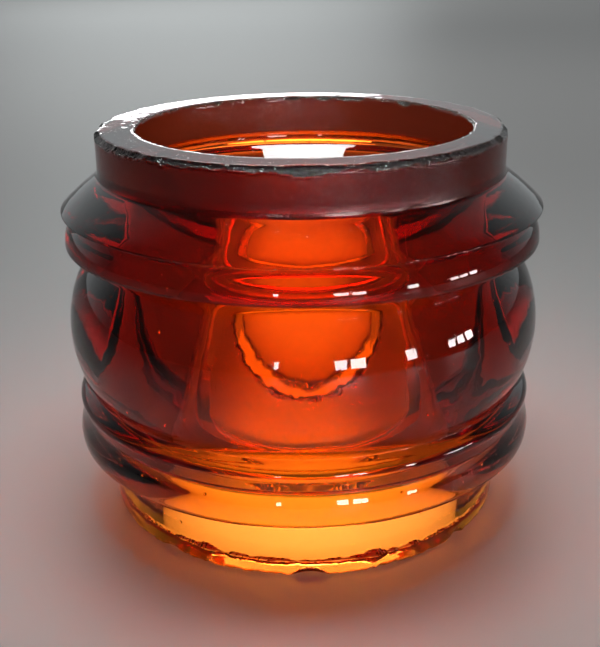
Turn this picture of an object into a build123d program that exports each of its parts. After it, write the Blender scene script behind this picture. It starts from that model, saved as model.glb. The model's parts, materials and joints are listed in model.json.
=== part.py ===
"""Drum lens of a short railway or road lantern, in amber-red pressed glass.

One turned solid: a convex belt round the middle, two refracting rings above it, two below it, and
a plain cracked-off collar at each end, where the lantern's frame grips it. The bore is narrower
behind the rings and the belt than in the two collars.

Millimetres. +Z is up. The origin is on the lens axis, at the bottom rim.
"""

import os
from math import sqrt

from build123d import *

# Whole lens
HEIGHT = 83.0

# Collars
TOP_COLLAR_RADIUS = 43.2
TOP_COLLAR_LENGTH = 9.2
BOTTOM_COLLAR_RADIUS = 44.0
BOTTOM_COLLAR_LENGTH = 13.9
RIM_ROUNDING = 0.4
COLLAR_FOOT_ROUNDING = 2.5

# Rings, from the top: the radius and height of each crest, and how far the face above it swells
# out from a straight cone
SHOULDER_CREST = (51.5, 67.0)
SHOULDER_SWELL = 0.5
UPPER_CREST = (51.0, 59.8)
UPPER_SWELL = 0.8
LOWER_CREST = (50.7, 25.6)
LOWER_SWELL = 0.5
FOOT_CREST = (51.1, 16.9)
FOOT_SWELL = 0.6
FOOT_RING_BOTTOM = (49.7, 14.6)
FOOT_ROLL_SWELL = 0.35
CREST_ROUNDING = 0.5

# Grooves under the shoulder ring and under the lower ring
SHOULDER_GROOVE = (48.5, 65.9)
FOOT_GROOVE = (49.4, 22.3)
GROOVE_ROUNDING = 0.25

# Belt: one arc from the groove above it to the groove below it
BELT_RADIUS = 51.5
BELT_Z = 41.4
BELT_ARC_RADIUS = 25.8
BELT_TOP_Z = 58.5
BELT_BOTTOM_Z = 28.5

# Bore, a little off the lens axis because the plunger stood off centre in the mould
BORE_OFFSET = 0.7
COLLAR_BORE_RADIUS = 35.4
LENS_BORE_RADIUS = 29.4
TOP_LEDGE_Z = 72.8
BOTTOM_LEDGE_Z = 14.4
TOP_LEDGE_HEIGHT = 5.6
BOTTOM_LEDGE_HEIGHT = 3.0
LEDGE_ROUNDING = 1.2


def belt_point(z):
    """The point of the belt's arc at a height."""
    centre_radius = BELT_RADIUS - BELT_ARC_RADIUS
    return (centre_radius + sqrt(BELT_ARC_RADIUS**2 - (z - BELT_Z) ** 2), z)


def corners_at(profile, points):
    """The corners of a sketch that stand at the given points."""
    return [
        corner
        for corner in profile.vertices()
        if any(abs(corner.X - x) < 0.01 and abs(corner.Y - y) < 0.01 for x, y in points)
    ]


BELT_TOP = belt_point(BELT_TOP_Z)
BELT_MIDDLE = belt_point(BELT_Z)
BELT_BOTTOM = belt_point(BELT_BOTTOM_Z)
TOP_RIM = (TOP_COLLAR_RADIUS, HEIGHT)
TOP_COLLAR_FOOT = (TOP_COLLAR_RADIUS, HEIGHT - TOP_COLLAR_LENGTH)
BOTTOM_COLLAR_HEAD = (BOTTOM_COLLAR_RADIUS, BOTTOM_COLLAR_LENGTH)
BOTTOM_RIM = (BOTTOM_COLLAR_RADIUS, 0)

LEDGE_CORNERS = [
    (COLLAR_BORE_RADIUS, BOTTOM_LEDGE_Z),
    (LENS_BORE_RADIUS, BOTTOM_LEDGE_Z + BOTTOM_LEDGE_HEIGHT),
    (LENS_BORE_RADIUS, TOP_LEDGE_Z - TOP_LEDGE_HEIGHT),
    (COLLAR_BORE_RADIUS, TOP_LEDGE_Z),
]
BORE_PLANE = Plane(origin=(BORE_OFFSET, 0, 0), x_dir=(1, 0, 0), z_dir=(0, -1, 0))
BORE_AXIS = Axis((BORE_OFFSET, 0, 0), (0, 0, 1))

with BuildPart() as lens_glass:
    # Outer profile, from the bottom rim up: collar, foot ring, lower ring, belt, upper ring,
    # shoulder ring, collar
    with BuildSketch(Plane.XZ) as outer_profile:
        with BuildLine():
            Polyline((0, 0), BOTTOM_RIM, BOTTOM_COLLAR_HEAD, FOOT_RING_BOTTOM)
            SagittaArc(FOOT_RING_BOTTOM, FOOT_CREST, -FOOT_ROLL_SWELL)
            SagittaArc(FOOT_CREST, FOOT_GROOVE, -FOOT_SWELL)
            Line(FOOT_GROOVE, LOWER_CREST)
            SagittaArc(LOWER_CREST, BELT_BOTTOM, -LOWER_SWELL)
            ThreePointArc(BELT_BOTTOM, BELT_MIDDLE, BELT_TOP)
            Line(BELT_TOP, UPPER_CREST)
            SagittaArc(UPPER_CREST, SHOULDER_GROOVE, -UPPER_SWELL)
            Line(SHOULDER_GROOVE, SHOULDER_CREST)
            SagittaArc(SHOULDER_CREST, TOP_COLLAR_FOOT, -SHOULDER_SWELL)
            Polyline(TOP_COLLAR_FOOT, TOP_RIM, (0, HEIGHT), (0, 0))
        make_face()
        fillet(corners_at(outer_profile, [SHOULDER_CREST, UPPER_CREST, LOWER_CREST]), CREST_ROUNDING)
        fillet(corners_at(outer_profile, [SHOULDER_GROOVE, BELT_TOP, FOOT_GROOVE]), GROOVE_ROUNDING)
        fillet(corners_at(outer_profile, [TOP_COLLAR_FOOT]), COLLAR_FOOT_ROUNDING)
        fillet(corners_at(outer_profile, [BOTTOM_RIM, TOP_RIM]), RIM_ROUNDING)
    revolve(axis=Axis.Z)

    # Bore: a wide mouth in each collar, and a ledge that slopes in to the lens bore
    with BuildSketch(BORE_PLANE) as bore_profile:
        with BuildLine():
            Polyline(
                (0, 0),
                (COLLAR_BORE_RADIUS, 0),
                *LEDGE_CORNERS,
                (COLLAR_BORE_RADIUS, HEIGHT),
                (0, HEIGHT),
                close=True,
            )
        make_face()
        fillet(corners_at(bore_profile, LEDGE_CORNERS), LEDGE_ROUNDING)
    revolve(axis=BORE_AXIS, mode=Mode.SUBTRACT)

os.makedirs("parts", exist_ok=True)
lens_glass.part.label = "lens_glass"
export_step(lens_glass.part, "parts/lens_glass.step")
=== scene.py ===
"""Looks of a drum lens from a short lantern: thick amber-red pressed glass with chipped rims.

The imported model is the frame. One glass body, with the seeds trapped in it, takes the place of the
plain CAD solid. Lengths are in metres and the lens stands on the floor at z = 0.
"""

import json
import logging
import math
import random
from dataclasses import dataclass, field
from enum import Enum

import bpy
import numpy as np
from mathutils import Euler, Matrix, Vector

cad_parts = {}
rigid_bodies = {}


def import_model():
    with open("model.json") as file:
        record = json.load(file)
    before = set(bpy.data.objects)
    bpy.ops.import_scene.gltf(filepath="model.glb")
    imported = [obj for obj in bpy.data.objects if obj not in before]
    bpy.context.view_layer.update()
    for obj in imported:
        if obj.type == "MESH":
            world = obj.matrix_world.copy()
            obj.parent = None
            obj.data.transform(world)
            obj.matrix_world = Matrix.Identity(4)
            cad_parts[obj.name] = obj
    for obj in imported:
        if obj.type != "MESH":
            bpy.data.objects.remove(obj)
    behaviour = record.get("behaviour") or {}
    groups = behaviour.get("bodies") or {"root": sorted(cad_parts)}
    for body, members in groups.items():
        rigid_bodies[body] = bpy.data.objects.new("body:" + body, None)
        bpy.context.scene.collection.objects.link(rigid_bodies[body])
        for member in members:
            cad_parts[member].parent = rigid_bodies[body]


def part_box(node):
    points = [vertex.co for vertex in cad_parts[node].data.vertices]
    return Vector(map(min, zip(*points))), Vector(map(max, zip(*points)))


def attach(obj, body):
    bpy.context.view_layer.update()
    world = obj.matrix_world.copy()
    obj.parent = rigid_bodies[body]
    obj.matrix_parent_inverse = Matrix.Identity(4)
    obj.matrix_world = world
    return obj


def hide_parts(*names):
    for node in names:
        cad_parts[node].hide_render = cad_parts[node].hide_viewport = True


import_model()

MM = 0.001
NODE = "lens_glass"
BODY = "root"

log = logging.getLogger("lens")


class Edge(Enum):
    """The four broken edges of the two rims, as (rim at the top, outer side)."""

    TOP_OUTER = (True, True)
    TOP_INNER = (True, False)
    BOTTOM_OUTER = (False, True)
    BOTTOM_INNER = (False, False)


# --------------------------------------------------------------------------- outline


def straight(start: tuple, end: tuple, step: float) -> list[tuple]:
    """Points along a straight line, without its last point.

    Args:
        start: First point, as (radius, height).
        end: Last point.
        step: Distance between points.

    Returns:
        The points from start towards end.
    """
    count = max(2, round(math.dist(start, end) / step))
    return [tuple(np.array(start) + (np.array(end) - start) * i / count) for i in range(count)]


def swollen(start: tuple, end: tuple, swell: float, step: float) -> list[tuple]:
    """Points along an arc that swells to the right of the way from start to end.

    Args:
        start: First point, as (radius, height).
        end: Last point.
        swell: Height of the arc over its chord.
        step: Distance between points.

    Returns:
        The points from start towards end.
    """
    a, b = np.array(start), np.array(end)
    chord = b - a
    length = float(np.hypot(*chord))
    out = np.array((chord[1], -chord[0])) / length
    radius = (length**2 / 4 + swell**2) / (2 * swell)
    centre = (a + b) / 2 + out * (swell - radius)
    first = math.atan2(*(a - centre)[::-1])
    last = math.atan2(*(b - centre)[::-1])
    turn = (last - first + math.pi) % (2 * math.pi) - math.pi
    count = max(3, round(length / step))
    angles = [first + turn * i / count for i in range(count)]
    return [tuple(centre + radius * np.array((math.cos(angle), math.sin(angle)))) for angle in angles]


@dataclass
class LensOutline:
    """The section of the lens: outer side from the bottom rim up, then the bore from the top down."""

    height: float = 83.0 * MM
    top_collar: float = 43.2 * MM
    top_collar_length: float = 9.2 * MM
    bottom_collar: float = 44.0 * MM
    bottom_collar_length: float = 13.9 * MM
    shoulder_crest: tuple = (51.5 * MM, 67.0 * MM)
    shoulder_groove: tuple = (48.5 * MM, 65.9 * MM)
    upper_crest: tuple = (51.0 * MM, 59.8 * MM)
    lower_crest: tuple = (50.7 * MM, 25.6 * MM)
    foot_groove: tuple = (49.4 * MM, 22.3 * MM)
    foot_crest: tuple = (51.1 * MM, 16.9 * MM)
    foot_bottom: tuple = (49.7 * MM, 14.6 * MM)
    belt_radius: float = 51.5 * MM
    belt_height: float = 41.4 * MM
    belt_arc: float = 25.8 * MM
    belt_top: float = 58.5 * MM
    belt_bottom: float = 28.5 * MM
    collar_bore: float = 35.4 * MM
    lens_bore: float = 29.4 * MM
    top_ledge: float = 72.8 * MM
    bottom_ledge: float = 14.4 * MM
    top_ledge_height: float = 5.6 * MM
    bottom_ledge_height: float = 3.0 * MM
    bore_offset: float = 0.7 * MM
    step: float = 0.1 * MM
    polish: float = 0.32 * MM
    rim_band: float = 3.2 * MM
    rim_step: float = 0.45 * MM
    wall_step: float = 2.4 * MM
    turn_step: float = 16.0
    blend_points: int = 20

    def belt(self) -> list[tuple]:
        """The points of the belt's arc, from its lower groove up."""
        centre = self.belt_radius - self.belt_arc
        heights = np.arange(self.belt_bottom, self.belt_top, self.step)
        return [(centre + math.sqrt(self.belt_arc**2 - (z - self.belt_height) ** 2), z) for z in heights]

    def outside(self) -> list[tuple]:
        """The outer side, from the middle of the bottom rim to the middle of the top rim."""
        middle = (self.top_collar + self.collar_bore) / 2
        belt = self.belt()
        foot_head = (self.bottom_collar, self.bottom_collar_length)
        neck = (self.top_collar, self.height - self.top_collar_length)
        belt_top = (belt[-1][0], self.belt_top)
        return [
            *straight((middle, 0.0), (self.bottom_collar, 0.0), self.step),
            *straight((self.bottom_collar, 0.0), foot_head, self.step),
            *straight(foot_head, self.foot_bottom, self.step),
            *swollen(self.foot_bottom, self.foot_crest, 0.35 * MM, self.step),
            *swollen(self.foot_crest, self.foot_groove, 0.6 * MM, self.step),
            *straight(self.foot_groove, self.lower_crest, self.step),
            *swollen(self.lower_crest, belt[0], 0.5 * MM, self.step),
            *belt,
            *straight(belt_top, self.upper_crest, self.step),
            *swollen(self.upper_crest, self.shoulder_groove, 0.8 * MM, self.step),
            *straight(self.shoulder_groove, self.shoulder_crest, self.step),
            *swollen(self.shoulder_crest, neck, 0.15 * MM, self.step),
            *straight(neck, (self.top_collar, self.height), self.step),
            *straight((self.top_collar, self.height), (middle, self.height), self.step),
        ]

    def inside(self) -> list[tuple]:
        """The bore, from the middle of the top rim down to the middle of the bottom rim."""
        middle = (self.top_collar + self.collar_bore) / 2
        corners = [
            (middle, self.height),
            (self.collar_bore, self.height),
            (self.collar_bore, self.top_ledge),
            (self.lens_bore, self.top_ledge - self.top_ledge_height),
            (self.lens_bore, self.bottom_ledge + self.bottom_ledge_height),
            (self.collar_bore, self.bottom_ledge),
            (self.collar_bore, 0.0),
            (middle, 0.0),
        ]
        points = []
        for start, end in zip(corners, corners[1:]):
            points += straight(start, end, self.step)
        return points

    def fire_polished(self, points: list[tuple], width: float) -> np.ndarray:
        """Rounds every corner of a closed outline, as a flame does.

        Args:
            points: The outline's points, evenly spaced.
            width: How far along the outline a corner is spread.

        Returns:
            The rounded points, one row each.
        """
        rows = np.array(points)
        reach = int(3 * width / self.step)
        weights = np.exp(-0.5 * (np.arange(-reach, reach + 1) * self.step / width) ** 2)
        weights /= weights.sum()
        soft = np.zeros_like(rows)
        for shift, weight in zip(range(-reach, reach + 1), weights):
            soft += weight * np.roll(rows, shift, axis=0)
        return soft

    def section(self) -> tuple[np.ndarray, np.ndarray]:
        """The closed section with few points where it is straight and many where it turns.

        Returns:
            The points as rows of radius and height, and for each the share of the bore's offset.
        """
        outside, inside = self.outside(), self.inside()
        rows = self.fire_polished(outside + inside, self.polish)
        share = np.concatenate((np.zeros(len(outside)), np.ones(len(inside))))
        near_rim = np.minimum(rows[:, 1], self.height - rows[:, 1]) < self.rim_band
        ahead = np.roll(rows, -1, axis=0) - rows
        heading = np.unwrap(np.arctan2(ahead[:, 1], ahead[:, 0]))
        kept, turned, travelled = [0], heading[0], 0.0
        for i in range(1, len(rows)):
            travelled += float(np.hypot(*(rows[i] - rows[i - 1])))
            longest = self.rim_step if near_rim[i] else self.wall_step
            if abs(heading[i] - turned) > math.radians(self.turn_step) or travelled > longest:
                kept.append(i)
                turned, travelled = heading[i], 0.0
        reach = self.blend_points
        wrapped = np.r_[share[-reach:], share, share[:reach]]
        offset = np.convolve(wrapped, np.ones(2 * reach + 1) / (2 * reach + 1), "valid")
        return rows[kept], offset[kept]


# --------------------------------------------------------------------------- broken rims


@dataclass(frozen=True)
class ChipRun:
    """How one edge of a rim is broken: many small scallops, and a few large bites."""

    edge: Edge
    scallops: int
    small: float
    large: float
    bites: tuple[tuple[float, float], ...] = ()


@dataclass
class BrokenRims:
    """Conchoidal chips along the cracked-off edges, pressed into the body's vertices."""

    outline: LensOutline
    seed: int = 7
    reach: float = 4.5 * MM
    lean_out: float = 0.42
    lean_up: float = 0.3
    rarity: float = 1.7
    margin: float = 0.6
    runs: tuple[ChipRun, ...] = (
        ChipRun(
            Edge.TOP_OUTER,
            460,
            0.7 * MM,
            2.5 * MM,
            (
                (0.5, 3.4 * MM),
                (3.6, 3.0 * MM),
                (-2.5, 2.4 * MM),
                (7.5, 2.2 * MM),
                (-8.0, 2.0 * MM),
                (-21.0, 1.9 * MM),
                (35.0, 2.1 * MM),
                (52.0, 1.9 * MM),
                (63.0, 1.8 * MM),
            ),
        ),
        ChipRun(
            Edge.TOP_INNER,
            380,
            0.3 * MM,
            1.1 * MM,
            (
                (138.0, 2.1 * MM),
                (158.0, 1.6 * MM),
                (163.0, 1.7 * MM),
                (172.0, 1.8 * MM),
                (184.0, 1.9 * MM),
                (215.0, 1.5 * MM),
            ),
        ),
        ChipRun(
            Edge.BOTTOM_OUTER,
            460,
            0.4 * MM,
            1.3 * MM,
            ((1.0, 3.0 * MM), (-40.0, 2.4 * MM), (47.0, 2.6 * MM)),
        ),
        ChipRun(Edge.BOTTOM_INNER, 330, 0.5 * MM, 1.5 * MM, ((20.0, 2.6 * MM), (-33.0, 2.2 * MM))),
    )

    def centre_line(self, edge: Edge) -> tuple[float, float, float]:
        """Radius, height and sideways offset of one edge."""
        top, outer = edge.value
        if outer:
            radius = self.outline.top_collar if top else self.outline.bottom_collar
        else:
            radius = self.outline.collar_bore
        return radius, self.outline.height if top else 0.0, 0.0 if outer else self.outline.bore_offset

    def scoop(
        self, places: np.ndarray, moved: np.ndarray, edge: Edge, angle: float, size: float, stretch: float
    ) -> None:
        """Presses one chip into the vertices that it reaches.

        Args:
            places: Vertex places, one row each, changed in place.
            moved: How far each vertex has been pressed in, changed in place.
            edge: The edge that is chipped.
            angle: Where on the edge, in degrees from the front, towards +X.
            size: Radius of the scoop.
            stretch: Length of the chip along the edge over its depth.
        """
        top, outer = edge.value
        radius, height, offset = self.centre_line(edge)
        turn = math.radians(angle)
        radial = np.array((math.sin(turn), -math.cos(turn), 0.0))
        along = np.array((math.cos(turn), math.sin(turn), 0.0))
        up = np.array((0.0, 0.0, 1.0))
        lean_out = (self.lean_out if outer else -self.lean_out) * size
        lean_up = (self.lean_up if top else -self.lean_up) * size
        centre = radial * (radius + lean_out) + up * (height + lean_up) + np.array((offset, 0.0, 0.0))
        away = places - centre
        local = np.stack((away @ along / stretch, away @ radial, away @ up), axis=1) / size
        reach = np.linalg.norm(local, axis=1)
        inside = (reach < 1.0) & (reach > 1e-6)
        if not inside.any():
            return
        target = local[inside] / reach[inside, None] * size
        new = centre + target[:, :1] * stretch * along + target[:, 1:2] * radial + target[:, 2:] * up
        moved[inside] = np.maximum(moved[inside], np.linalg.norm(new - places[inside], axis=1))
        places[inside] = new

    def press(self, places: np.ndarray) -> np.ndarray:
        """Breaks all four edges.

        Args:
            places: Vertex places, one row each, changed in place.

        Returns:
            How far each vertex was pressed in.
        """
        draw = random.Random(self.seed)
        moved = np.zeros(len(places))
        heading = np.degrees(np.arctan2(places[:, 0], -places[:, 1])) % 360.0
        for run in self.runs:
            top = run.edge.value[0]
            depth = self.outline.height - places[:, 2] if top else places[:, 2]
            rim = np.flatnonzero(depth < self.reach)
            rim = rim[np.argsort(heading[rim])]
            order = heading[rim]
            chips = [
                (
                    360.0 * (i + draw.uniform(-0.5, 0.5)) / run.scallops,
                    run.small + (run.large - run.small) * draw.random() ** self.rarity,
                    draw.uniform(0.9, 2.0),
                )
                for i in range(run.scallops)
            ]
            chips += [(angle, size, draw.uniform(1.1, 1.7)) for angle, size in run.bites]
            for angle, size, stretch in chips:
                half = math.degrees(size * stretch / self.outline.collar_bore) + self.margin
                laps = np.array((-360.0, 0.0, 360.0)) + angle
                firsts, lasts = np.searchsorted(order, laps - half), np.searchsorted(order, laps + half)
                near = np.concatenate([rim[first:last] for first, last in zip(firsts, lasts)])
                some, shift = places[near], moved[near]
                self.scoop(some, shift, run.edge, angle, size, stretch)
                places[near], moved[near] = some, shift
        return moved


# --------------------------------------------------------------------------- finishes


@dataclass(frozen=True)
class AmberGlass:
    """Amber glass that was struck redder towards its top, with painted shade darkening it there too,
    polished by fire and rough where it broke, and with a paler colour on its broken faces as a painted
    sparkle.
    """

    name: str = "amber_red_pressed_glass"
    refraction: float = 1.52
    roughness: float = 0.012
    broken_roughness: float = 0.16
    # A pale colour on the broken faces: a painted sparkle.
    painted_sparkle_tint: tuple[float, float, float] = (1.0, 0.6, 0.42)
    absorbed: tuple[float, float, float] = (0.925, 0.69, 0.04)
    density: float = 240.0
    ring_scale: float = 900.0
    ring_depth: float = 0.008 * MM
    # Colours from the foot up: the glass is struck redder towards the top, and the dark top colours are
    # partly painted shade.
    tint_heights: tuple[float, ...] = (0.0, 0.28, 0.37, 0.6, 0.84, 0.91)
    tints: tuple[tuple[float, float, float], ...] = (
        (1.0, 1.0, 0.95),
        (1.0, 0.95, 0.85),
        (0.92, 0.5, 0.6),
        (0.88, 0.42, 0.5),
        (0.8, 0.32, 0.42),
        (0.41, 0.08, 0.12),
    )

    def tint(
        self, tree: bpy.types.NodeTree, height: float, broken: bpy.types.NodeSocket
    ) -> bpy.types.NodeSocket:
        """Builds the change of colour up the lens, with one pale colour on the broken faces.

        Args:
            Builds the change of colour up the lens, redder from striking and darker towards the top partly
            as painted shade, with one pale colour on the broken faces as a painted sparkle.
            height: Height of the lens.
            broken: Socket that is 1 on broken faces.

        Returns:
            The socket that gives the tint.
        """
        nodes, links = tree.nodes, tree.links
        place = nodes.new("ShaderNodeTexCoord")
        split = nodes.new("ShaderNodeSeparateXYZ")
        links.new(place.outputs["Object"], split.inputs[0])
        cords = nodes.new("ShaderNodeTexNoise")
        cords.inputs["Scale"].default_value = 45.0
        cords.inputs["Detail"].default_value = 3.0
        stretch = nodes.new("ShaderNodeMapping")
        stretch.inputs["Scale"].default_value = (1.0, 1.0, 3.0)
        links.new(place.outputs["Object"], stretch.inputs["Vector"])
        links.new(stretch.outputs[0], cords.inputs["Vector"])
        sway = nodes.new("ShaderNodeMath")
        sway.operation = "MULTIPLY_ADD"
        links.new(cords.outputs["Fac"], sway.inputs[0])
        sway.inputs[1].default_value = 0.1 * height
        links.new(split.outputs["Z"], sway.inputs[2])
        level = nodes.new("ShaderNodeMapRange")
        links.new(sway.outputs[0], level.inputs["Value"])
        level.inputs["From Min"].default_value = 0.05 * height
        level.inputs["From Max"].default_value = 1.05 * height
        # Redder and darker towards the top: struck colour, and partly painted shade.
        ramp = nodes.new("ShaderNodeValToRGB")
        ramp.color_ramp.interpolation = "EASE"
        while len(ramp.color_ramp.elements) < len(self.tints):
            ramp.color_ramp.elements.new(0.5)
        for stop, at, colour in zip(ramp.color_ramp.elements, self.tint_heights, self.tints):
            stop.position = at
            stop.color = (*colour, 1.0)
        links.new(level.outputs[0], ramp.inputs["Fac"])
        # Broken faces take one pale colour, a painted sparkle.
        spark = nodes.new("ShaderNodeMix")
        spark.data_type = "RGBA"
        links.new(broken, spark.inputs["Factor"])
        links.new(ramp.outputs["Color"], spark.inputs[6])
        spark.inputs[7].default_value = (*self.painted_sparkle_tint, 1.0)
        return spark.outputs[2]

    def relief(
        self, tree: bpy.types.NodeTree, height: float, broken: bpy.types.NodeSocket
    ) -> bpy.types.NodeSocket:
        """Builds the skin: slow ripples of the mould, rings on the collar, hair scratches and broken grain.

        Args:
            tree: The material's node tree.
            height: Height of the lens, whose top collar has the rings.
            broken: Socket that is 1 on broken faces.

        Returns:
            The normal socket.
        """
        nodes, links = tree.nodes, tree.links
        place = nodes.new("ShaderNodeTexCoord")
        ripple = nodes.new("ShaderNodeTexNoise")
        ripple.inputs["Scale"].default_value = 130.0
        ripple.inputs["Detail"].default_value = 2.0
        links.new(place.outputs["Object"], ripple.inputs["Vector"])
        ripple_bump = nodes.new("ShaderNodeBump")
        ripple_bump.inputs["Strength"].default_value = 0.05
        ripple_bump.inputs["Distance"].default_value = 1.0 * MM
        links.new(ripple.outputs["Fac"], ripple_bump.inputs["Height"])
        turn = nodes.new("ShaderNodeMapping")
        turn.inputs["Rotation"].default_value = (0.4, 0.9, 0.3)
        turn.inputs["Scale"].default_value = (1.0, 1.0, 0.04)
        links.new(place.outputs["Object"], turn.inputs["Vector"])
        hairs = nodes.new("ShaderNodeTexNoise")
        hairs.inputs["Scale"].default_value = 2600.0
        hairs.inputs["Detail"].default_value = 1.0
        links.new(turn.outputs[0], hairs.inputs["Vector"])
        only_deep = nodes.new("ShaderNodeMapRange")
        only_deep.inputs["From Min"].default_value = 0.72
        only_deep.inputs["From Max"].default_value = 0.8
        links.new(hairs.outputs["Fac"], only_deep.inputs["Value"])
        hair_bump = nodes.new("ShaderNodeBump")
        hair_bump.invert = True
        hair_bump.inputs["Strength"].default_value = 0.12
        hair_bump.inputs["Distance"].default_value = 0.05 * MM
        links.new(only_deep.outputs[0], hair_bump.inputs["Height"])
        rings = nodes.new("ShaderNodeTexWave")
        rings.bands_direction = "Z"
        rings.inputs["Scale"].default_value = self.ring_scale
        rings.inputs["Distortion"].default_value = 2.5
        rings.inputs["Detail Scale"].default_value = 30.0
        links.new(place.outputs["Object"], rings.inputs["Vector"])
        split = nodes.new("ShaderNodeSeparateXYZ")
        links.new(place.outputs["Object"], split.inputs[0])
        on_collar = nodes.new("ShaderNodeMapRange")
        on_collar.inputs["From Min"].default_value = 0.885 * height
        on_collar.inputs["From Max"].default_value = 0.9 * height
        links.new(split.outputs["Z"], on_collar.inputs["Value"])
        ring_bump = nodes.new("ShaderNodeBump")
        ring_bump.inputs["Distance"].default_value = self.ring_depth
        below_rim = nodes.new("ShaderNodeMapRange")
        below_rim.inputs["From Min"].default_value = 0.992 * height
        below_rim.inputs["From Max"].default_value = 0.98 * height
        links.new(split.outputs["Z"], below_rim.inputs["Value"])
        here = nodes.new("ShaderNodeMath")
        here.operation = "MULTIPLY"
        links.new(on_collar.outputs[0], here.inputs[0])
        links.new(below_rim.outputs[0], here.inputs[1])
        links.new(here.outputs[0], ring_bump.inputs["Strength"])
        links.new(rings.outputs["Fac"], ring_bump.inputs["Height"])
        links.new(ripple_bump.outputs[0], ring_bump.inputs["Normal"])
        links.new(ring_bump.outputs[0], hair_bump.inputs["Normal"])
        grain = nodes.new("ShaderNodeTexVoronoi")
        grain.inputs["Scale"].default_value = 1500.0
        links.new(place.outputs["Object"], grain.inputs["Vector"])
        grain_bump = nodes.new("ShaderNodeBump")
        grain_bump.inputs["Distance"].default_value = 0.3 * MM
        links.new(grain.outputs["Distance"], grain_bump.inputs["Height"])
        links.new(broken, grain_bump.inputs["Strength"])
        links.new(hair_bump.outputs[0], grain_bump.inputs["Normal"])
        return grain_bump.outputs[0]

    def material(self, height: float) -> bpy.types.Material:
        """Builds the glass.

        Args:
            height: Height of the lens, over which its colour changes.

        Returns:
            The material.
        """
        made = bpy.data.materials.new(self.name)
        made.use_nodes = True
        tree = made.node_tree
        nodes, links = tree.nodes, tree.links
        shader = nodes["Principled BSDF"]
        shader.inputs["Transmission Weight"].default_value = 1.0
        shader.inputs["IOR"].default_value = self.refraction
        chipped = nodes.new("ShaderNodeAttribute")
        chipped.attribute_name = "broken"
        links.new(self.tint(tree, height, chipped.outputs["Fac"]), shader.inputs["Base Color"])
        rough = nodes.new("ShaderNodeMapRange")
        rough.inputs["To Min"].default_value = self.roughness
        rough.inputs["To Max"].default_value = self.broken_roughness
        links.new(chipped.outputs["Fac"], rough.inputs["Value"])
        links.new(rough.outputs[0], shader.inputs["Roughness"])
        links.new(self.relief(tree, height, chipped.outputs["Fac"]), shader.inputs["Normal"])
        body = nodes.new("ShaderNodeVolumeAbsorption")
        body.inputs["Color"].default_value = (*self.absorbed, 1.0)
        body.inputs["Density"].default_value = self.density
        links.new(body.outputs[0], nodes["Material Output"].inputs["Volume"])
        return made


@dataclass(frozen=True)
class SeedGlass:
    """The thin bright skin of a gas bubble in the glass."""

    name: str = "gas_bubble"
    refraction: float = 1.25

    def material(self) -> bpy.types.Material:
        """Builds the bubble's skin."""
        made = bpy.data.materials.new(self.name)
        made.use_nodes = True
        shader = made.node_tree.nodes["Principled BSDF"]
        shader.inputs["Transmission Weight"].default_value = 1.0
        shader.inputs["IOR"].default_value = self.refraction
        shader.inputs["Base Color"].default_value = (1.0, 0.9, 0.85, 1.0)
        shader.inputs["Roughness"].default_value = 0.02
        return made


# --------------------------------------------------------------------------- pieces


@dataclass
class LensBody:
    """The pressed glass itself, turned from its section, rippled a little and broken at its rims."""

    outline: LensOutline = field(default_factory=LensOutline)
    sides: int = 570
    ripple: float = 0.04 * MM
    ripple_size: float = 4.5 * MM
    wave_seed: int = 3
    waves: int = 7
    fully_broken: float = 0.12 * MM
    flat_above: float = 0.5

    def __post_init__(self) -> None:
        """Draws the directions of the slow ripples that the mould left."""
        draw = np.random.default_rng(self.wave_seed)
        rows = draw.normal(size=(self.waves, 3))
        self.wave_rows = rows / np.linalg.norm(rows, axis=1)[:, None]
        self.wave_starts = draw.uniform(0.0, 2 * math.pi, self.waves)

    def vertices(self) -> tuple[np.ndarray, np.ndarray, int]:
        """Turns the section and breaks the rims.

        Returns:
            The vertex places, how far each was broken away, and the number of points in the section.
        """
        rows, offset = self.outline.section()
        turns = np.arange(self.sides) * 2 * math.pi / self.sides
        radial = np.stack((np.sin(turns), -np.cos(turns)), axis=1)
        radii = np.repeat(rows[None, :, 0], self.sides, axis=0)
        heights = np.repeat(rows[None, :, 1], self.sides, axis=0)
        places = np.empty((self.sides, len(rows), 3))
        places[..., :2] = radial[:, None, :] * radii[..., None]
        places[..., 0] += offset[None, :] * self.outline.bore_offset
        places[..., 2] = heights
        places = places.reshape(-1, 3)
        waves = np.sin(places @ self.wave_rows.T / self.ripple_size + self.wave_starts).sum(axis=1)
        shrink = self.ripple / self.outline.belt_radius * (1.0 + waves / len(self.wave_rows))
        places[:, :2] *= (1.0 - shrink)[:, None]
        moved = BrokenRims(self.outline).press(places)
        np.clip(places[:, 2], 0.0, self.outline.height, out=places[:, 2])
        return places, moved, len(rows)

    def build(self, material: bpy.types.Material) -> bpy.types.Object:
        """Makes the body.

        Args:
            material: The glass.

        Returns:
            The finished piece.
        """
        places, moved, count = self.vertices()
        turn = np.repeat(np.arange(self.sides), count)
        point = np.tile(np.arange(count), self.sides)
        next_turn, next_point = (turn + 1) % self.sides, (point + 1) % count
        quads = np.stack(
            (
                turn * count + point,
                next_turn * count + point,
                next_turn * count + next_point,
                turn * count + next_point,
            ),
            axis=1,
        )
        mesh = bpy.data.meshes.new("lens_body")
        mesh.from_pydata(places.tolist(), [], quads.tolist())
        mesh.update()
        broken = mesh.attributes.new("broken", "FLOAT", "POINT")
        amount = np.clip(moved / self.fully_broken, 0.0, 1.0)
        broken.data.foreach_set("value", amount)
        flat = (amount[quads] > self.flat_above).all(axis=1)
        mesh.polygons.foreach_set("use_smooth", ~flat)
        mesh.materials.append(material)
        piece = bpy.data.objects.new("lens_body", mesh)
        bpy.context.scene.collection.objects.link(piece)
        return piece


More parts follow.
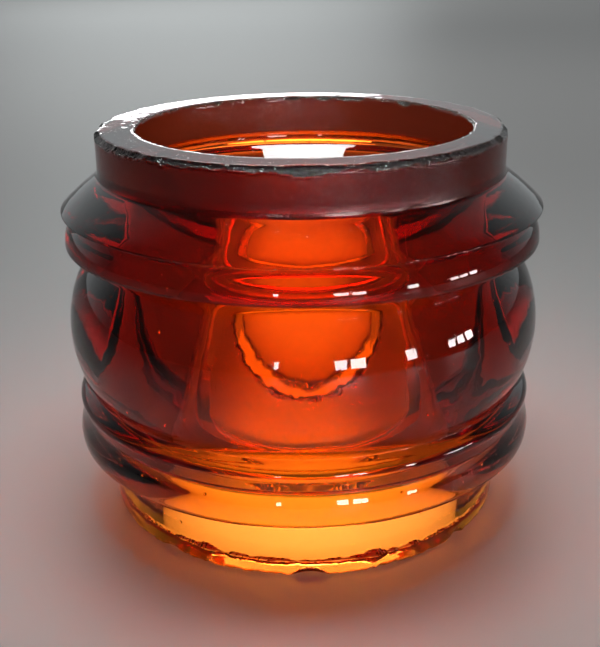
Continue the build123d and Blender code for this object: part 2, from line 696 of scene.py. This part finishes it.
@dataclass
class Seeds:
    """Gas bubbles trapped in the wall, scattered over a hidden shell by geometry nodes."""

    outline: LensOutline = field(default_factory=LensOutline)
    shell_inset: float = 2.4 * MM
    per_square_metre: float = 3200.0
    small: float = 0.12 * MM
    large: float = 0.42 * MM
    seed: int = 11
    depth: float = 3.0 * MM
    wall_margin: float = 5.0 * MM
    rim_margin: float = 4.0 * MM
    shell_sides: int = 96

    def shell(self) -> bpy.types.Object:
        """The surface inside the wall that carries the bubbles."""
        rows, _ = self.outline.section()
        least = self.outline.collar_bore + self.wall_margin
        highest = self.outline.height - self.rim_margin
        outer = [row for row in rows if row[0] > least and self.rim_margin < row[1] < highest]
        sides = self.shell_sides
        places, faces = [], []
        for i in range(sides):
            turn = 2 * math.pi * i / sides
            for radius, z in outer:
                inner = radius - self.shell_inset
                places.append((inner * math.sin(turn), -inner * math.cos(turn), z))
        count = len(outer)
        for i in range(sides):
            for j in range(count - 1):
                a, b = i * count + j, ((i + 1) % sides) * count + j
                faces.append((a, b, b + 1, a + 1))
        mesh = bpy.data.meshes.new("seed_shell")
        mesh.from_pydata(places, [], faces)
        mesh.update()
        shell = bpy.data.objects.new("seed_shell", mesh)
        bpy.context.scene.collection.objects.link(shell)
        return shell

    def tree(self, material: bpy.types.Material) -> tuple[bpy.types.NodeTree, dict[str, str]]:
        """Builds the node tree that scatters the bubbles.

        Args:
            material: The bubbles' skin.

        Returns:
            The tree, and each named input's identifier.
        """
        tree = bpy.data.node_groups.new("scatter_seeds", "GeometryNodeTree")
        face = tree.interface
        face.new_socket("Geometry", in_out="INPUT", socket_type="NodeSocketGeometry")
        names = {}
        for name, kind in (
            ("Density", "NodeSocketFloat"),
            ("Smallest", "NodeSocketFloat"),
            ("Largest", "NodeSocketFloat"),
            ("Depth", "NodeSocketFloat"),
            ("Seed", "NodeSocketInt"),
        ):
            names[name] = face.new_socket(name, in_out="INPUT", socket_type=kind).identifier
        face.new_socket("Geometry", in_out="OUTPUT", socket_type="NodeSocketGeometry")
        nodes, links = tree.nodes, tree.links
        given, made = nodes.new("NodeGroupInput"), nodes.new("NodeGroupOutput")
        scatter = nodes.new("GeometryNodeDistributePointsOnFaces")
        links.new(given.outputs["Geometry"], scatter.inputs["Mesh"])
        links.new(given.outputs["Density"], scatter.inputs["Density"])
        links.new(given.outputs["Seed"], scatter.inputs["Seed"])
        depth = nodes.new("FunctionNodeRandomValue")
        links.new(given.outputs["Depth"], depth.inputs[3])
        links.new(given.outputs["Seed"], depth.inputs["Seed"])
        inward = nodes.new("ShaderNodeVectorMath")
        inward.operation = "SCALE"
        links.new(scatter.outputs["Normal"], inward.inputs[0])
        negate = nodes.new("ShaderNodeMath")
        negate.operation = "MULTIPLY"
        negate.inputs[1].default_value = -1.0
        links.new(depth.outputs[1], negate.inputs[0])
        links.new(negate.outputs[0], inward.inputs["Scale"])
        sink = nodes.new("GeometryNodeSetPosition")
        links.new(scatter.outputs["Points"], sink.inputs["Geometry"])
        links.new(inward.outputs[0], sink.inputs["Offset"])
        ball = nodes.new("GeometryNodeMeshIcoSphere")
        ball.inputs["Radius"].default_value = 1.0
        ball.inputs["Subdivisions"].default_value = 2
        size = nodes.new("FunctionNodeRandomValue")
        links.new(given.outputs["Smallest"], size.inputs[2])
        links.new(given.outputs["Largest"], size.inputs[3])
        place = nodes.new("GeometryNodeInstanceOnPoints")
        links.new(sink.outputs[0], place.inputs["Points"])
        links.new(ball.outputs["Mesh"], place.inputs["Instance"])
        links.new(size.outputs[1], place.inputs["Scale"])
        real = nodes.new("GeometryNodeRealizeInstances")
        links.new(place.outputs[0], real.inputs[0])
        smooth = nodes.new("GeometryNodeSetShadeSmooth")
        links.new(real.outputs[0], smooth.inputs["Geometry"])
        dress = nodes.new("GeometryNodeSetMaterial")
        dress.inputs["Material"].default_value = material
        links.new(smooth.outputs[0], dress.inputs["Geometry"])
        links.new(dress.outputs[0], made.inputs["Geometry"])
        return tree, names

    def build(self, material: bpy.types.Material) -> bpy.types.Object:
        """Makes the bubbles.

        Args:
            material: The bubbles' skin.

        Returns:
            All the bubbles, as one plain mesh.
        """
        shell = self.shell()
        modifier = shell.modifiers.new("seeds", "NODES")
        modifier.node_group, names = self.tree(material)
        for name, value in (
            ("Density", self.per_square_metre),
            ("Smallest", self.small),
            ("Largest", self.large),
            ("Depth", self.depth),
            ("Seed", self.seed),
        ):
            modifier[names[name]] = value
        seen = shell.evaluated_get(bpy.context.evaluated_depsgraph_get())
        mesh = bpy.data.meshes.new_from_object(seen)
        mesh.name = "seeds"
        piece = bpy.data.objects.new("seeds", mesh)
        bpy.context.scene.collection.objects.link(piece)
        bpy.data.objects.remove(shell)
        return piece


# --------------------------------------------------------------------------- studio


@dataclass(frozen=True)
class Softbox:
    """One soft panel of light that points at the lens."""

    name: str
    azimuth: float
    elevation: float
    distance: float
    width: float
    height: float
    watts: float
    colour: tuple[float, float, float] = (1.0, 1.0, 1.0)
    aim: tuple[float, float, float] = (0.0, 0.0, 0.04)
    spread: float = 180.0


@dataclass(frozen=True)
class Spot:
    """One narrow spot that lights a round patch of floor."""

    name: str
    place: tuple[float, float, float]
    aim: tuple[float, float, float]
    watts: float
    angle: float


@dataclass
class Studio:
    """A pale floor, a sky that is brightest behind the lens, soft panels, a spot and a glow in the bore."""

    panels: tuple[Softbox, ...] = (
        Softbox("window_behind", 173.5, 8.1, 2.2, 1.05, 0.21, 3.1, (0.93, 0.99, 1.0)),
        Softbox("skylight", 178.0, 66.0, 0.9, 0.5, 0.2, 0.6, (0.95, 0.99, 1.0)),
        Softbox("skylight_low", 178.0, 37.0, 0.9, 0.5, 0.5, 0.9, (0.96, 0.99, 1.0)),
        Softbox("overhead", 0.0, 90.0, 0.26, 0.2, 0.06, 0.22, (0.9, 0.99, 1.0), (0.0, -0.006, 0.07), 100.0),
        Softbox("far_wash", 180.0, 89.0, 1.0, 2.2, 1.0, 2.2, (0.95, 0.99, 1.0), (0.0, 1.5, 0.0)),
        Softbox("pane_front", 12.0, 9.0, 1.1, 0.04, 0.13, 0.3),
        Softbox("pane_near_a", -16.5, 8.5, 1.1, 0.11, 0.15, 1.0),
        Softbox("pane_near_b", -24.5, 8.5, 1.1, 0.13, 0.15, 1.2),
        Softbox("pane_middle", -49.0, 8.0, 1.1, 0.09, 0.16, 0.9),
        Softbox("pane_far_a", -70.0, 6.0, 1.1, 0.08, 0.1, 0.5),
        Softbox("pane_far_b", -75.5, 6.0, 1.1, 0.08, 0.1, 0.5),
        Softbox("pane_far_c", -81.0, 6.0, 1.1, 0.08, 0.1, 0.5),
    )
    spots: tuple[Spot, ...] = (
        Spot("spot_behind", (0.0, 0.47, 0.6), (-0.006, 0.066, 0.0), 76.0, 5.2),
    )
    floor_gap: float = 0.35 * MM
    floor_reach: float = 3.0
    floor_colour: tuple[float, float, float] = (0.32, 0.305, 0.295)
    floor_roughness: float = 0.5
    sky_colour: tuple[float, float, float] = (0.93, 0.98, 1.0)
    sky_from: float = 0.1
    sky_to: float = 0.85
    spot_blend: float = 0.6
    spot_size: float = 0.012
    room_light: float = 0.045
    back_light: float = 0.55
    glow_height: float = 58.0 * MM
    glow_width: float = 52.0 * MM
    glow_watts: float = 0.24
    glow_colour: tuple[float, float, float] = (1.0, 0.5, 0.22)

    def plain(self, name: str, colour: tuple[float, float, float], roughness: float) -> bpy.types.Material:
        """A plain matt surface for the floor."""
        made = bpy.data.materials.new(name)
        made.use_nodes = True
        shader = made.node_tree.nodes["Principled BSDF"]
        shader.inputs["Base Color"].default_value = (*colour, 1.0)
        shader.inputs["Roughness"].default_value = roughness
        return made

    def sheet(self, name: str, corners: list[tuple], material: bpy.types.Material) -> bpy.types.Object:
        """A flat sheet of the studio."""
        mesh = bpy.data.meshes.new(name)
        mesh.from_pydata(corners, [], [(0, 1, 2, 3)])
        mesh.materials.append(material)
        made = bpy.data.objects.new(name, mesh)
        bpy.context.scene.collection.objects.link(made)
        return made

    def light(self, panel: Softbox) -> None:
        """Hangs one soft panel. Azimuth 0 is the camera's side, and it grows towards -X."""
        lamp = bpy.data.lights.new(panel.name, "AREA")
        lamp.shape = "RECTANGLE" if panel.name.startswith("pane") else "ELLIPSE"
        lamp.size, lamp.size_y = panel.width, panel.height
        lamp.energy = panel.watts
        lamp.color = panel.colour
        lamp.spread = math.radians(panel.spread)
        around, up = math.radians(panel.azimuth), math.radians(panel.elevation)
        way = Vector((-math.sin(around) * math.cos(up), -math.cos(around) * math.cos(up), math.sin(up)))
        made = bpy.data.objects.new(panel.name, lamp)
        made.location = Vector(panel.aim) + way * panel.distance
        made.rotation_euler = way.to_track_quat("Z", "Y").to_euler()
        made.visible_camera = False
        bpy.context.scene.collection.objects.link(made)

    def glow(self) -> None:
        """Hangs a small disc of light in the bore, facing down, so that the lens glows from its foot."""
        lamp = bpy.data.lights.new("glow_in_bore", "AREA")
        lamp.shape = "DISK"
        lamp.size = self.glow_width
        lamp.energy = self.glow_watts
        lamp.color = self.glow_colour
        made = bpy.data.objects.new("glow_in_bore", lamp)
        made.location = (0.0, 0.0, self.glow_height)
        made.visible_camera = False
        bpy.context.scene.collection.objects.link(made)

    def spot(self, spot: Spot) -> None:
        """Hangs one narrow spot."""
        lamp = bpy.data.lights.new(spot.name, "SPOT")
        lamp.energy = spot.watts
        lamp.spot_size = math.radians(spot.angle)
        lamp.spot_blend = self.spot_blend
        lamp.shadow_soft_size = self.spot_size
        made = bpy.data.objects.new(spot.name, lamp)
        made.location = spot.place
        away = Vector(spot.place) - Vector(spot.aim)
        made.rotation_euler = away.to_track_quat("Z", "Y").to_euler()
        made.visible_camera = False
        bpy.context.scene.collection.objects.link(made)

    def build(self) -> None:
        """Sets up the floor, sky, panels, spot and glow."""
        far = self.floor_reach
        self.sheet(
            "floor",
            [(x * far, y * far, -self.floor_gap) for x, y in ((-1, -1), (1, -1), (1, 1), (-1, 1))],
            self.plain("floor_paint", self.floor_colour, self.floor_roughness),
        )
        world = bpy.data.worlds.new("studio")
        bpy.context.scene.world = world
        world.use_nodes = True
        nodes, links = world.node_tree.nodes, world.node_tree.links
        sky = nodes["Background"]
        place = nodes.new("ShaderNodeTexCoord")
        split = nodes.new("ShaderNodeSeparateXYZ")
        links.new(place.outputs["Generated"], split.inputs[0])
        depth = nodes.new("ShaderNodeMapRange")
        depth.interpolation_type = "SMOOTHSTEP"
        depth.inputs["From Min"].default_value = self.sky_from
        depth.inputs["From Max"].default_value = self.sky_to
        depth.inputs["To Min"].default_value = self.room_light
        depth.inputs["To Max"].default_value = self.back_light
        links.new(split.outputs["Y"], depth.inputs["Value"])
        sky.inputs["Color"].default_value = (*self.sky_colour, 1.0)
        links.new(depth.outputs[0], sky.inputs["Strength"])
        for panel in self.panels:
            self.light(panel)
        for spot in self.spots:
            self.spot(spot)
        self.glow()
        bpy.context.scene.view_settings.view_transform = "Standard"


@dataclass
class Viewpoint:
    """The camera: how far in front, how high, how far it looks down, and its lens."""

    distance: float = 217.8 * MM
    height: float = 121.5 * MM
    look_down: float = 21.12
    roll: float = -0.67
    focal: float = 61.56
    sensor: float = 36.0
    shift: float = -0.0053

    def build(self) -> bpy.types.Object:
        """Sets up the scene's camera."""
        lens = bpy.data.cameras.new("camera")
        lens.sensor_fit = "HORIZONTAL"
        lens.sensor_width = self.sensor
        lens.lens = self.focal
        lens.shift_x = self.shift
        lens.clip_start = 0.01
        made = bpy.data.objects.new("camera", lens)
        tilt = Euler((math.radians(90.0 - self.look_down), 0.0, 0.0)).to_matrix()
        roll = Matrix.Rotation(math.radians(self.roll), 3, "Z")
        made.matrix_world = Matrix.Translation((0.0, -self.distance, self.height)) @ (tilt @ roll).to_4x4()
        bpy.context.scene.collection.objects.link(made)
        bpy.context.scene.camera = made
        return made


def main() -> None:
    """Builds the lens, its seeds and the studio in order."""
    logging.basicConfig(level=logging.INFO, format="%(name)s: %(message)s")
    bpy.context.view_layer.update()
    outline = LensOutline(height=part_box(NODE)[1].z)
    Viewpoint().build()
    Studio().build()
    body = LensBody(outline).build(AmberGlass().material(outline.height))
    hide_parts(NODE)
    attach(body, BODY)
    log.info("lens body: %d faces", len(body.data.polygons))
    seeds = Seeds(outline).build(SeedGlass().material())
    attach(seeds, BODY)
    log.info("seeds: %d faces", len(seeds.data.polygons))


if __name__ == "__main__":
    main()
